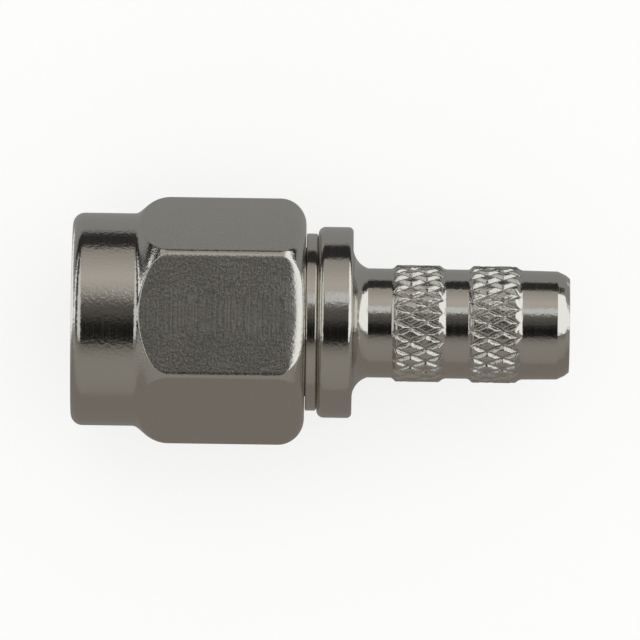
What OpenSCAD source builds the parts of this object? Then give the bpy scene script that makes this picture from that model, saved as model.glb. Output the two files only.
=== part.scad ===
// Coaxial screw plug with a quarter-inch 36-thread coupling nut and a knurled crimp stem.
// The axis runs along X: x = 0 is the mating plane, the nut's mouth faces -X, the cable leaves along +X.
// The plug lies on one flat of its nut, which is its lowest face.

/* [Coupling nut] */
// Width across the flats of the hexagon
nut_af = 8; // [7.6:0.05:8.6]
// Whole length of the nut
nut_len = 8.64; // [8:0.02:10]
// How far the nut's mouth stands ahead of the mating plane
nut_reach = 2.8; // [2.5:0.05:3.2]
// Diameter of the round collar at the mouth
collar_d = 7.87; // [7.4:0.01:7.9]
// Length of the round collar
collar_len = 2.43; // [1.8:0.01:3]
// Radius on the collar's front edge
collar_edge = 0.44; // [0.1:0.02:0.5]
// Radius along the six long edges of the hexagon
hex_edge = 0.3; // [0.1:0.02:0.5]
// Radius of the turned shoulder at the front of the hexagon
hex_front_curve = 1.8; // [1.2:0.05:2]
// Radius of the turned shoulder at the rear of the hexagon
hex_rear_curve = 1; // [0.8:0.02:1.2]
// Room for the jack's wall between the bushing and the crests of the coupling thread
jack_wall = 0.575; // [0.52:0.005:0.6]
// Depth of the coupling thread
thread_depth = 0.305; // [0.25:0.005:0.38]
// Lead-in at the mouth, past the major diameter
mouth_lead = 0.1; // [0.02:0.01:0.2]
// Distance that the thread runs behind the mating plane
thread_run = 2.3; // [2:0.05:2.5]
// Depth of the relief behind the thread, past the major diameter
relief_depth = 0.05; // [0.02:0.01:0.15]
// Length of the lip that turns on the shell
lip_len = 1.64; // [1.2:0.02:2]

/* [Front shell] */
// Outside diameter of the bushing that enters the jack
bushing_d = 4.59; // [4.5:0.01:4.6]
// Length of the bushing, from the mating plane to the sealing shoulder
bushing_len = 2.6; // [2.4:0.02:2.8]
// Chamfer on the bushing's front edge
bushing_chamfer = 0.12; // [0.05:0.01:0.15]
// Wall of the bushing round the insulator
bushing_wall = 0.235; // [0.2:0.005:0.3]
// Height of the sealing shoulder, from the bushing to the barrel that the nut turns on
shoulder = 0.455; // [0.4:0.005:0.5]
// Diameter of the neck behind the nut
neck_d = 6.56; // [6.2:0.02:6.9]
// Length of the neck
neck_len = 0.37; // [0.3:0.01:0.8]
// Radius on the neck's rear edge
neck_edge = 0.1; // [0.04:0.01:0.15]

/* [Retaining ring and seal] */
// Radial thickness of the ring
ring_t = 0.5; // [0.4:0.02:0.54]
// Width of the ring along the axis
ring_w = 0.44; // [0.3:0.02:0.6]
// How far the ring stands over the nut's lip, which it catches
ring_catch = 0.25; // [0.2:0.01:0.3]
// Width of the ring's open gap, as an angle
ring_gap_angle = 24; // [10:1:60]
// Depth that is left under the ring for closing it
ring_spring_room = 0.25; // [0.2:0.01:0.28]
// Thickness of the sealing ring
seal_t = 0.68; // [0.5:0.01:0.8]
// Radial thickness of the sealing ring
seal_wall = 0.495; // [0.4:0.005:0.55]
// Radius on the sealing ring's front edge
seal_edge = 0.14; // [0.04:0.01:0.2]
// Depth of the undercut that holds the sealing ring; it tapers in towards the shoulder
seal_undercut = 0.1; // [0.05:0.01:0.12]

/* [Rear body] */
// Diameter of the flange
flange_d = 7.07; // [6.8:0.02:7.6]
// Length of the flange
flange_len = 1.3; // [1:0.02:1.8]
// Radius on the flange's front edge
flange_front_edge = 0.2; // [0.05:0.01:0.3]
// Radius on the flange's rear edge
flange_rear_edge = 0.13; // [0.05:0.01:0.3]
// Fillet between the flange and the stem
stem_fillet = 0.6; // [0.3:0.02:0.8]
// Bore for the cable's dielectric
cable_bore_d = 3.1; // [2.9:0.02:3.4]
// Wall of the crimp stem
stem_wall = 0.475; // [0.44:0.005:0.6]
// Length of the stem behind the flange
stem_len = 8.03; // [7.8:0.02:9]
// Length of the chamfer at the stem's end
stem_chamfer_len = 0.45; // [0.2:0.01:0.6]
// Depth of the chamfer at the stem's end
stem_chamfer_depth = 0.33; // [0.15:0.01:0.35]
// Chamfer at the mouth of the cable bore
bore_chamfer = 0.08; // [0.02:0.01:0.1]
// Wall of the shell round the spigot that is pressed into it
socket_wall = 0.32; // [0.28:0.01:0.4]
// Length of the spigot
spigot_len = 1.2; // [1:0.02:1.4]
// Step that the spigot makes behind the front insulator, which it traps
cavity_step = 0.16; // [0.1:0.01:0.25]
// Length of that bore behind the flange's front face
cavity_len = 1.16; // [0.8:0.02:1.6]

/* [Knurl] */
// Height of the crests above the stem
knurl_rise = 0.14; // [0.12:0.005:0.2]
// Depth of the grooves
knurl_depth = 0.09; // [0.04:0.01:0.1]
// Number of grooves of each hand
knurl_starts = 24; // [18:1:30]
// Length of a knurled band
band_len = 1.76; // [1.4:0.02:2]
// Distance from the flange to the first band
band_start = 1.56; // [1.3:0.02:1.8]
// Distance between the starts of the two bands
band_pitch = 2.83; // [2.4:0.02:3]
// Length of the run-out at each end of a band
band_edge = 0.1; // [0.06:0.01:0.2]
// Quarter steps of a diamond along a band
band_steps = 6; // [4:1:8]

/* [Centre contact and insulators] */
// Diameter of the contact pin
pin_d = 0.92; // [0.9:0.01:0.94]
// Length of the pin ahead of the mating plane
pin_len = 2; // [1.8:0.02:2.2]
// Length of the pin's tapered nose
pin_nose = 0.24; // [0.1:0.02:0.4]
// Diameter of the pin's flat tip
pin_tip_d = 0.4; // [0.2:0.02:0.5]
// Recess of the contact's shoulder behind the mating plane
contact_recess = 0.1; // [0.04:0.01:0.2]
// Diameter of the contact in the insulator
contact_d = 1.27; // [1.2:0.01:1.3]
// Diameter of the collar that holds the contact between the insulators
contact_collar_d = 2.5; // [2.2:0.02:3]
// Length of that collar
contact_collar_len = 0.35; // [0.2:0.01:0.5]
// Outside diameter of the solder cup
cup_d = 1.9; // [1.7:0.02:2]
// Bore of the solder cup
cup_bore_d = 1; // [0.9:0.02:1.2]
// Depth of the solder cup
cup_depth = 1.6; // [1:0.02:1.8]
// Diameter of the solder hole in the cup's wall
solder_hole_d = 0.5; // [0.3:0.02:0.6]

/* [Clearances] */
// Radial running clearance of the nut on the shell
nut_gap = 0.05; // [0.02:0.01:0.09]
// End float of the nut each way
nut_float = 0.08; // [0.03:0.01:0.12]
// Side clearance of the ring in its groove
ring_side_gap = 0.03; // [0.01:0.01:0.06]
// Radial clearance of pressed and slipped inner pieces
seat_gap = 0.01; // [0.005:0.005:0.02]
// Axial room ahead of the spigot
spigot_end_gap = 0.05; // [0.02:0.01:0.1]

/* [Hidden] */
$fn = 96;
// How far a cutting shape runs past the face it cuts
past = 1;

// The nut, along the axis
nut_front = -nut_reach;
nut_rear = nut_front + nut_len;
hex_front = nut_front + collar_len;
lip_front = nut_rear - lip_len;
thread_minor_d = bushing_d + 2 * jack_wall;
thread_major_d = thread_minor_d + 2 * thread_depth;
barrel_d = bushing_d + 2 * shoulder;
lip_d = barrel_d + 2 * nut_gap;
relief_d = thread_major_d + 2 * relief_depth;
mouth_d = thread_major_d + 2 * mouth_lead;
// Radius to the rounded corners of the hexagon
corner_centre = (nut_af / 2 - hex_edge) / cos(30);
corner_r = corner_centre + hex_edge;
// Drop of the front shoulder's curve where the collar starts, and where its centre lies
front_drop = hex_front_curve - (corner_r - collar_d / 2);
front_run = sqrt(pow(hex_front_curve, 2) - pow(front_drop, 2));

// The shell, its ring and its seal
line_bore_d = bushing_d - 2 * bushing_wall;
neck_front = nut_rear + nut_float;
neck_rear = neck_front + neck_len;
seal_front = bushing_len - seal_t;
undercut_d = bushing_d - 2 * seal_undercut;
seal_bore_d = undercut_d + 2 * seat_gap;
seal_d = seal_bore_d + 2 * seal_wall;
ring_d = lip_d + 2 * ring_catch;
ring_rear = lip_front - nut_float;
ring_front = ring_rear - ring_w;
groove_d = ring_d - 2 * ring_t - 2 * ring_spring_room;

// The rear body
stem_d = cable_bore_d + 2 * stem_wall;
knurl_d = stem_d + 2 * knurl_rise;
socket_d = barrel_d - 2 * socket_wall;
spigot_d = socket_d - 2 * seat_gap;
cavity_d = line_bore_d - 2 * cavity_step;
flange_rear = neck_rear + flange_len;
stem_end = flange_rear + stem_len;
spigot_front = neck_rear - spigot_len;
cavity_rear = neck_rear + cavity_len;
// The knurl's end rings stand this far above the stem, so that its faces never graze it
knurl_foot = 0.02;

// The contact
cup_rear = cavity_rear - spigot_end_gap;
collar_rear = spigot_front + contact_collar_len;

// Turns an outline drawn as [radius, place along the axis] about the X axis.
module turned() {
    rotate([0, 90, 0]) rotate_extrude() children();
}

// A rectangle of an outline, from radius r0 to r1 and from x0 to x1.
module band(r0, r1, x0, x1) {
    translate([r0, x0]) square([r1 - r0, x1 - x0]);
}

// What a round of radius f takes off an outer edge at radius r and place x; side is 1 at a rear edge.
module edge_off(r, x, f, side) {
    difference() {
        translate([r - f, side > 0 ? x - f : x]) square(f);
        translate([r - f, x - side * f]) circle(f);
    }
}

// What a fillet of radius f adds in the corner of a shaft of radius r and a shoulder at x.
module fillet(r, x, f) {
    difference() {
        translate([r, x]) square(f);
        translate([r + f, x + f]) circle(f);
    }
}

// A hexagon with rounded corners and two flats square to the first axis.
module rounded_hexagon(af, f) {
    centre = (af / 2 - f) / cos(30);
    function spot(k) = centre * [cos(60 * k + 30), sin(60 * k + 30)];
    polygon([for (k = [0:5], s = [0:1]) spot(k) + f * [cos(60 * (k + s)), sin(60 * (k + s))]]);
    for (k = [0:5]) translate(spot(k)) circle(f);
}

// Outline of the nut's round collar.
module collar_outline() {
    difference() {
        band(0, collar_d / 2, nut_front, hex_front);
        edge_off(collar_d / 2, nut_front, collar_edge, -1);
    }
}

// Outline of the body behind it, whose two ends are turned to convex shoulders.
module nut_body_outline() {
    front_centre = hex_front + front_run;
    band(0, corner_r - hex_front_curve, hex_front, front_centre);
    intersection() {
        translate([corner_r - hex_front_curve, front_centre]) circle(hex_front_curve);
        band(0, corner_r, hex_front, front_centre);
    }
    difference() {
        band(0, corner_r, front_centre, nut_rear);
        edge_off(corner_r, nut_rear, hex_rear_curve, 1);
    }
}

// Hollow of the nut: lead-in, thread at its minor diameter, relief for the ring, and the lip's bore.
module nut_hollow() {
    lead = (mouth_d - thread_minor_d) / 2;
    step = (relief_d - thread_minor_d) / 2;
    polygon([
        [0, nut_front - past], [mouth_d / 2, nut_front - past], [mouth_d / 2, nut_front],
        [thread_minor_d / 2, nut_front + lead], [thread_minor_d / 2, thread_run],
        [relief_d / 2, thread_run + step], [relief_d / 2, lip_front],
        [lip_d / 2, lip_front], [lip_d / 2, nut_rear + past], [0, nut_rear + past]
    ]);
}

module coupling_nut() {
    color("silver")
    difference() {
        union() {
            turned() collar_outline();
            intersection() {
                turned() nut_body_outline();
                translate([nut_front, 0, 0]) rotate([0, 90, 0])
                    linear_extrude(nut_len + past) rounded_hexagon(nut_af, hex_edge);
            }
        }
        turned() nut_hollow();
    }
}

// A C-shaped ring; its open gap points up.
module snap_ring() {
    color("darkgoldenrod")
    rotate([0, 90, 0]) rotate(180 + ring_gap_angle / 2) rotate_extrude(angle = 360 - ring_gap_angle)
        band(ring_d / 2 - ring_t, ring_d / 2, ring_front, ring_rear);
}

module sealing_ring() {
    color("orangered")
    turned() difference() {
        polygon([
            [bushing_d / 2 + seat_gap, seal_front], [seal_d / 2, seal_front],
            [seal_d / 2, bushing_len], [seal_bore_d / 2, bushing_len]
        ]);
        edge_off(seal_d / 2, seal_front, seal_edge, -1);
    }
}

module front_shell() {
    color("silver")
    turned() difference() {
        union() {
            polygon([
                [0, 0], [bushing_d / 2 - bushing_chamfer, 0], [bushing_d / 2, bushing_chamfer],
                [bushing_d / 2, seal_front], [undercut_d / 2, bushing_len], [0, bushing_len]
            ]);
            difference() {
                band(0, barrel_d / 2, bushing_len, neck_front);
                band(groove_d / 2, barrel_d, ring_front - ring_side_gap, ring_rear + ring_side_gap);
            }
            difference() {
                band(0, neck_d / 2, neck_front, neck_rear);
                edge_off(neck_d / 2, neck_rear, neck_edge, 1);
            }
        }
        band(0, line_bore_d / 2, -past, neck_rear);
        band(0, socket_d / 2, spigot_front - spigot_end_gap, neck_rear + past);
    }
}

// Outline of the flange and stem, solid to the axis.
module rear_outline() {
    difference() {
        band(0, flange_d / 2, neck_rear, flange_rear);
        edge_off(flange_d / 2, neck_rear, flange_front_edge, -1);
        edge_off(flange_d / 2, flange_rear, flange_rear_edge, 1);
    }
    fillet(stem_d / 2, flange_rear, stem_fillet);
    polygon([
        [0, flange_rear], [stem_d / 2, flange_rear], [stem_d / 2, stem_end - stem_chamfer_len],
        [stem_d / 2 - stem_chamfer_depth, stem_end], [0, stem_end]
    ]);
}

// Depth of one family of grooves, from 0 to 1, at t grooves round: a V a quarter of a pitch each way.
function groove(t) = max(0, 1 - 4 * abs(t - round(t)));

// A knurled band that starts at x. Grooves of both hands cross, and leave flat-topped diamonds. Its
// surface is a grid of four columns to a groove, each cell split along the groove or crest in it.
module knurl_band(x) {
    columns = 4 * knurl_starts;
    step = (band_len - 2 * band_edge) / band_steps;
    foot_r = stem_d / 2 + knurl_foot;
    function surface_r(i, j) = knurl_d / 2 - knurl_depth * max(groove((i + j) / 4), groove((i - j) / 4));
    function ring(r, place) = [for (i = [0:columns - 1])
        [place, r * sin(360 * i / columns), r * cos(360 * i / columns)]];
    function crest_ring(j) = [for (i = [0:columns - 1])
        [x + band_edge + j * step, surface_r(i, j) * sin(360 * i / columns),
            surface_r(i, j) * cos(360 * i / columns)]];
    points = concat(ring(foot_r, x), [for (j = [0:band_steps]) each crest_ring(j)],
        ring(foot_r, x + band_len));
    rows = band_steps + 3;
    function spot(i, k) = k * columns + i % columns;
    // Whether a cell is split from its first corner to the far one
    function rising(i, j) = ((i - j) % 4 == 0) || ((i - j) % 2 != 0 && (i + j + 1) % 4 != 0);
    walls = [for (k = [0:rows - 2], i = [0:columns - 1])
        let (a = spot(i, k), b = spot(i + 1, k), c = spot(i + 1, k + 1), d = spot(i, k + 1))
        each rising(i, k - 1) ? [[a, b, c], [a, c, d]] : [[a, b, d], [b, c, d]]];
    front = [for (i = [columns - 1:-1:0]) i];
    rear = [for (i = [0:columns - 1]) spot(i, rows - 1)];
    polyhedron(points, concat(walls, [front, rear]));
}

// Hollow of the rear body: the cavity for the insulator, then the cable's bore.
module rear_hollow() {
    band(0, cavity_d / 2, spigot_front - past, cavity_rear);
    band(0, cable_bore_d / 2, cavity_rear - past, stem_end + past);
    polygon([
        [0, stem_end - bore_chamfer], [cable_bore_d / 2, stem_end - bore_chamfer],
        [cable_bore_d / 2 + bore_chamfer, stem_end], [0, stem_end]
    ]);
}

module rear_body() {
    color("silver")
    difference() {
        union() {
            turned() {
                rear_outline();
                band(0, spigot_d / 2, spigot_front, neck_rear);
            }
            for (k = [0:1]) knurl_band(flange_rear + band_start + k * band_pitch);
        }
        turned() rear_hollow();
    }
}

module front_insulator() {
    color("white")
    turned() band(contact_d / 2 + seat_gap, line_bore_d / 2 - seat_gap, 0, spigot_front);
}

module rear_insulator() {
    color("white")
    turned() band(cup_d / 2 + seat_gap, cavity_d / 2 - seat_gap, collar_rear, cavity_rear);
}

module centre_contact() {
    color("gold")
    difference() {
        turned() difference() {
            polygon([
                [0, -pin_len], [pin_tip_d / 2, -pin_len], [pin_d / 2, pin_nose - pin_len],
                [pin_d / 2, contact_recess], [contact_d / 2, contact_recess],
                [contact_d / 2, spigot_front], [contact_collar_d / 2, spigot_front],
                [contact_collar_d / 2, collar_rear], [cup_d / 2, collar_rear],
                [cup_d / 2, cup_rear], [0, cup_rear]
            ]);
            band(0, cup_bore_d / 2, cup_rear - cup_depth, cup_rear + past);
        }
        translate([cup_rear - cup_depth / 2, 0, 0]) cylinder(h = cup_d, d = solder_hole_d);
    }
}

coupling_nut();
snap_ring();
sealing_ring();
front_shell();
rear_body();
front_insulator();
rear_insulator();
centre_contact();
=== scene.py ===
"""Surfaces, finishes and studio of a crimp-type coaxial screw plug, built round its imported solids.

Each new piece is one closed surface: a grid whose rows follow the piece's section and whose columns go
round the X axis. Lengths are in metres; MM turns millimetres into them.
"""

import math

import bpy
import numpy as np
from mathutils import Matrix, Vector


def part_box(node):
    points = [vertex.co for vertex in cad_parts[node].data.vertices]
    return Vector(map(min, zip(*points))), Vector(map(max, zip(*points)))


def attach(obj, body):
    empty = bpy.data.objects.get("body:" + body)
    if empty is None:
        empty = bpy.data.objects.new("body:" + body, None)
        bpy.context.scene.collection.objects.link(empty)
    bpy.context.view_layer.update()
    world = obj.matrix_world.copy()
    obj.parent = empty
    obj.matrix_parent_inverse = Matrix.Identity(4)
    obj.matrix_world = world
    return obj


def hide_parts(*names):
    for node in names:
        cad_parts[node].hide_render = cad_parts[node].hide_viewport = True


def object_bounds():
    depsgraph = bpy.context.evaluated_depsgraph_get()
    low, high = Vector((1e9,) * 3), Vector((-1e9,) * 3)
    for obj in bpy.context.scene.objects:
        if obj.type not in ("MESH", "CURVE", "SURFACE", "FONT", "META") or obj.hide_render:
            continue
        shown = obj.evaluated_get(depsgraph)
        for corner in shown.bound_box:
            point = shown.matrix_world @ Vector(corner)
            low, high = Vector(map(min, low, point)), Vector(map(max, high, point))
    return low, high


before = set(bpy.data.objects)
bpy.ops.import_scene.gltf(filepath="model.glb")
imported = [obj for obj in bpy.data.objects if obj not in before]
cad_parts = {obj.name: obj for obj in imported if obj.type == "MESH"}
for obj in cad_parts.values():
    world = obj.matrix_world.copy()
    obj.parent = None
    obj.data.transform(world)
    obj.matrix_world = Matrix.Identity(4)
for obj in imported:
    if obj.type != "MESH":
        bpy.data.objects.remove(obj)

bl_info = {
    "name": "Coaxial screw plug",
    "version": (1, 0, 0),
    "blender": (4, 5, 0),
    "location": "View3D > Sidebar > Plug",
    "description": "Builds the surfaces, finishes and studio of a crimp-type coaxial screw plug",
    "category": "Add Mesh",
}

MM = 0.001
CAD_BOX = [list(corner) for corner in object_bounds()]
NUT_LOW, NUT_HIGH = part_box("coupling_nut")
BODY_LOW, BODY_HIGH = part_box("rear_body")
SHELL_LOW, SHELL_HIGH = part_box("front_shell")
CONTACT_LOW, CONTACT_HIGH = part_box("centre_contact")
SEAL_LOW, SEAL_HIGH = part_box("sealing_ring")
HUG = 0.015 * MM  # how close a supporting row stands to an edge
SHARP = 0.03 * MM  # radius of a turned edge that was only broken


# ---------------------------------------------------------------------------------------------------
# Settings
# ---------------------------------------------------------------------------------------------------


def length(name, description, millimetres):
    """A length property, given in millimetres and kept in metres."""
    return bpy.props.FloatProperty(
        name=name, description=description, default=millimetres * MM, min=0.0, precision=5, unit="LENGTH"
    )


def colour(name, description, code):
    """A colour property, given as an sRGB hex code and kept linear."""
    return bpy.props.FloatVectorProperty(
        name=name, description=description, default=linear(code), size=4, min=0.0, max=1.0, subtype="COLOR"
    )


def linear(code):
    """The linear RGBA of an sRGB hex code such as #c0ffee."""
    share = np.array([int(code[i : i + 2], 16) for i in (1, 3, 5)]) / 255
    low, high = share / 12.92, ((share + 0.055) / 1.055) ** 2.4
    return (*np.where(share <= 0.04045, low, high).tolist(), 1.0)


class NutSettings(bpy.types.PropertyGroup):
    """Sizes of the coupling nut."""

    across_flats: length("Across flats", "Width across the flats of the hexagon", 2 * NUT_HIGH.z / MM)
    corner_round: length("Corner round", "Radius along the six long edges of the hexagon", 0.3)
    collar: length("Collar", "Diameter of the round collar at the mouth", 7.87)
    collar_length: length("Collar length", "Length of the round collar", 2.407)
    collar_edge: length("Collar edge", "Radius on the collar's front edge", 0.44)
    collar_foot: length("Collar foot", "Hollow radius between the collar and the hexagon's front cone", 0.35)
    front_cone: length("Front cone", "Length of the turned cone that takes the hexagon's front corners", 0.735)
    front_shoulder: length("Front shoulder", "Radius between that cone and the hexagon's corners", 1.4)
    rear_shoulder: length("Rear shoulder", "Radius of the turned shoulder at the hexagon's rear", 1.0)
    front_blend: length("Front blend", "Wear between the front cone and the flats", 0.03)
    rear_blend: length("Rear blend", "Wear between the rear shoulder and the middle of each flat", 0.5)
    thread_minor: length("Thread minor", "Minor diameter of the coupling thread", 5.74)
    thread_major: length("Thread major", "Major diameter of the coupling thread", 6.35)
    pitch: length("Pitch", "Pitch of the coupling thread, 36 turns an inch", 25.4 / 36)
    lip: length("Lip", "Bore of the lip that turns on the shell", 5.6)
    lip_length: length("Lip length", "Length of that lip", 1.64)


class ShellSettings(bpy.types.PropertyGroup):
    """Sizes of the front shell and the rear body."""

    bushing: length("Bushing", "Diameter of the bushing that enters the jack", 4.59)
    barrel: length("Barrel", "Diameter of the barrel that the nut turns on", 5.5)
    neck: length("Neck", "Diameter of the neck behind the nut", 6.56)
    line_bore: length("Line bore", "Bore for the front insulator", 4.12)
    flange: length("Flange", "Diameter of the flange", 7.07)
    flange_length: length("Flange length", "Length of the flange", 1.3)
    fillet: length("Fillet", "Hollow radius between the flange and the stem", 0.8)
    fillet_length: length("Fillet length", "How far that hollow reaches along the stem", 0.562)
    stem: length("Stem", "Outside diameter of the crimp stem", 4.04)
    cable_bore: length("Cable bore", "Bore for the cable's dielectric", 3.1)
    knurl_starts: bpy.props.IntProperty(
        name="Knurl starts", description="Grooves of each hand round the stem", default=24, min=12, max=48
    )
    knurl: length("Knurl", "Diameter over the knurl's crests", 4.33)
    knurl_depth: length("Knurl depth", "Depth of the knurl's grooves", 0.13)
    knurl_band: length("Knurl band", "Length of one knurled band", 1.89)
    knurl_first: length("First band", "Distance from the flange to the first band", 1.49)
    knurl_spacing: length("Band spacing", "Distance between the starts of the two bands", 2.83)


class InsideSettings(bpy.types.PropertyGroup):
    """Sizes of the contact, insulators and seal."""

    pin: length("Pin", "Diameter of the contact pin", 0.92)
    pin_tip: length("Pin tip", "Diameter of the pin's flat tip", 0.4)
    contact: length("Contact", "Diameter of the contact in the insulator", 1.27)
    cup_bore: length("Cup bore", "Bore of the solder cup", 1.0)
    cup_depth: length("Cup depth", "Depth of the solder cup", 1.6)
    seal_edge: length("Seal edge", "Radius on the sealing ring's edges", 0.14)


class FinishSettings(bpy.types.PropertyGroup):
    """Colours of the finishes."""

    nickel: colour("Nickel", "Bright nickel plating", "#d2cec6")
    gold: colour("Gold", "Hard gold plating", "#e9c069")
    bronze: colour("Bronze", "Phosphor bronze spring", "#c0895c")
    silicone: colour("Silicone", "Moulded silicone rubber", "#b8401f")
    ptfe: colour("PTFE", "Turned PTFE", "#eeece4")


class StudioSettings(bpy.types.PropertyGroup):
    """Sizes and colours of the studio."""

    reach: length("Reach", "Radius of the floor and the light tent", 250.0)
    distance: length("Distance", "Distance from the camera to the plug", 600.0)
    field: length("Field", "Width of the view at the plug", 23.7)
    elevation: bpy.props.FloatProperty(
        name="Elevation", description="Height of the camera above the horizon",
        default=math.radians(86.6), subtype="ANGLE",
    )
    roll: bpy.props.FloatProperty(
        name="Roll", description="Turn of the camera about its view",
        default=math.radians(0.81), subtype="ANGLE",
    )
    floor: colour("Floor", "Pale card", "#e9e9e6")


# ---------------------------------------------------------------------------------------------------
# Surfaces
# ---------------------------------------------------------------------------------------------------


def rounded_loop(corners, steps=6):
    """A closed section (x, r) from corners given as rows of (x, r, radius).

    Each corner becomes an arc tangent to its two sides. A point stands just outside each end of the
    arc, so that smooth shading stays within the arc and leaves the sides plain.
    """
    corners = np.asarray(corners, float)
    spot, radius = corners[:, :2], corners[:, 2:]
    back, ahead = np.roll(spot, 1, 0) - spot, np.roll(spot, -1, 0) - spot
    back /= np.linalg.norm(back, axis=1, keepdims=True)
    ahead /= np.linalg.norm(ahead, axis=1, keepdims=True)
    half = np.arccos(np.clip((back * ahead).sum(1, keepdims=True), -1, 1)) / 2
    run = radius / np.tan(half)
    centre = spot + (back + ahead) / np.linalg.norm(back + ahead, axis=1, keepdims=True) * radius / np.sin(half)
    first, last = spot + back * run - centre, spot + ahead * run - centre
    share = np.linspace(0, 1, steps + 1)[None, :, None]
    sweep = (np.pi - 2 * half)[:, :, None]
    arc = (np.sin((1 - share) * sweep) * first[:, None] + np.sin(share * sweep) * last[:, None]) / np.sin(sweep)
    arc = centre[:, None] + arc
    before, after = (spot + back * (run + HUG))[:, None], (spot + ahead * (run + HUG))[:, None]
    return np.concatenate([before, arc, after], 1).reshape(-1, 2)


def smoothstep(value):
    """0 below 0, 1 above 1, and 3t^2 - 2t^3 between."""
    share = np.clip(value, 0, 1)
    return share * share * (3 - 2 * share)


def soft_min(a, b, width):
    """The smaller of a and b, rounded over the width where they are close."""
    near = np.clip(width - np.abs(a - b), 0, None) / width
    return np.minimum(a, b) - near * near * width / 4


def ring_grid(x, r, angle):
    """Points and quads of a closed surface: x and r are rows by columns, angle a row of angles from Z.

    A point lies at (x, r sin(angle), r cos(angle)). Rows and columns both close on themselves.
    """
    x, r = np.broadcast_arrays(x, r)
    points = np.stack([x, r * np.sin(angle), r * np.cos(angle)], -1).reshape(-1, 3)
    number = np.arange(x.size).reshape(x.shape)
    below = np.roll(number, -1, 0)
    quads = np.stack([number, below, np.roll(below, -1, 1), np.roll(number, -1, 1)], -1).reshape(-1, 4)
    return points, quads


def turned(section, columns):
    """Points and quads of a closed section (x, r) turned about the X axis."""
    angle = np.arange(columns) * 2 * np.pi / columns
    return ring_grid(np.repeat(section[:, :1], columns, 1), section[:, 1:], angle)


def spindle(section, columns):
    """Points, quads and triangles of a section (x, r) that starts and ends on the axis, with a fan at each end."""
    ring = section[1:-1]
    angle = np.arange(columns) * 2 * np.pi / columns
    points, quads = ring_grid(np.repeat(ring[:, :1], columns, 1), ring[:, 1:], angle)
    quads = quads[: (len(ring) - 1) * columns]
    poles = np.array([[section[0, 0], 0, 0], [section[-1, 0], 0, 0]])
    first = np.arange(columns)
    last = first + (len(ring) - 1) * columns
    start = np.stack([np.full(columns, len(points)), first, np.roll(first, -1)], -1)
    end = np.stack([np.full(columns, len(points) + 1), np.roll(last, -1), last], -1)
    return np.concatenate([points, poles]), quads, np.concatenate([start, end])


def add_mesh(name, points, quads, triangles=np.empty((0, 3), int)):
    """A smooth object from points and faces, turned outward by the sign of the volume that they enclose."""
    halves = points[np.concatenate([quads[:, :3], quads[:, [0, 2, 3]], triangles])]
    if np.einsum("ij,ij->", halves[:, 0], np.cross(halves[:, 1], halves[:, 2])) < 0:
        quads, triangles = quads[:, ::-1], triangles[:, ::-1]
    mesh = bpy.data.meshes.new(name)
    mesh.from_pydata(points.tolist(), [], quads.tolist() + triangles.tolist())
    if mesh.validate():
        raise RuntimeError(f"{name} has faulty faces")
    mesh.shade_smooth()
    made = bpy.data.objects.new(name, mesh)
    bpy.context.scene.collection.objects.link(made)
    return made


def add_mark(piece, name, mark):
    """Keeps one number for each point of a piece, for its material."""
    piece.data.attributes.new(name, "FLOAT", "POINT").data.foreach_set("value", mark.ravel().astype(np.float32))


def dress(piece, material, body, node):
    """Gives a piece its finish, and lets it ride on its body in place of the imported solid."""
    piece.data.materials.append(material)
    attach(piece, body)
    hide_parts(node)


def refinish(node, material):
    """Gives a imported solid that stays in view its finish."""
    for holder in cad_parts[node].material_slots:
        holder.material = material


# ---------------------------------------------------------------------------------------------------
# The pieces' own forms
# ---------------------------------------------------------------------------------------------------

ARC_STEPS = 48  # steps to each arc of the nut's turned outline, before its rows are chosen
NUT_SECTOR_COLUMNS = 48  # columns to one side of the hexagon
CONE_ROWS, FLAT_ROWS, SHOULDER_ROWS = 20, 46, 14  # rows in front of, along and behind the flats
LEAST_WEAR = 0.012 * MM  # wear at the hexagon's corners
CORNER_CROWDING = 0.93  # how far the nut's columns crowd towards the hexagon's corners
DRAWN_EDGE = 0.05 * MM  # depth over which the drawn skin of the flats fades into the turned skin
THREAD_ROWS = 22  # rows to one turn of the thread
THREAD_RUN = 2.3 * MM  # how far the thread runs behind the mating plane
MOUTH_LEAD, RELIEF_DEPTH = 0.1 * MM, 0.05 * MM  # lead-in at the mouth and relief, past the major diameter
LIP_EDGES = 0.06 * MM, 0.05 * MM, 0.04 * MM  # radii at the lip's rear and front and in the relief's corner
THREAD_ROOT = 0.115 * MM  # height of the 60 degree flanks at a quarter pitch from the root, past the minor radius


def hexagon_radius(angle, flat, corner_round):
    """Distance from the axis to a hexagon with rounded corners, in the direction of each angle.

    A flat is flat / cos(angle from its middle). A corner is a circle of that radius whose centre lies
    on the corner's ray, met by the ray at the given angle.
    """
    turn = (angle + np.pi / 6) % (np.pi / 3) - np.pi / 6
    centre = (flat - corner_round) / math.cos(math.pi / 6)
    off = np.pi / 6 - np.abs(turn)
    on_flat = flat * np.abs(np.tan(turn)) <= centre * math.sin(math.pi / 6)
    round_part = np.sqrt(np.clip(corner_round**2 - (centre * np.sin(off)) ** 2, 0, None))
    return np.where(on_flat, flat / np.cos(turn), centre * np.cos(off) + round_part)


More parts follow.
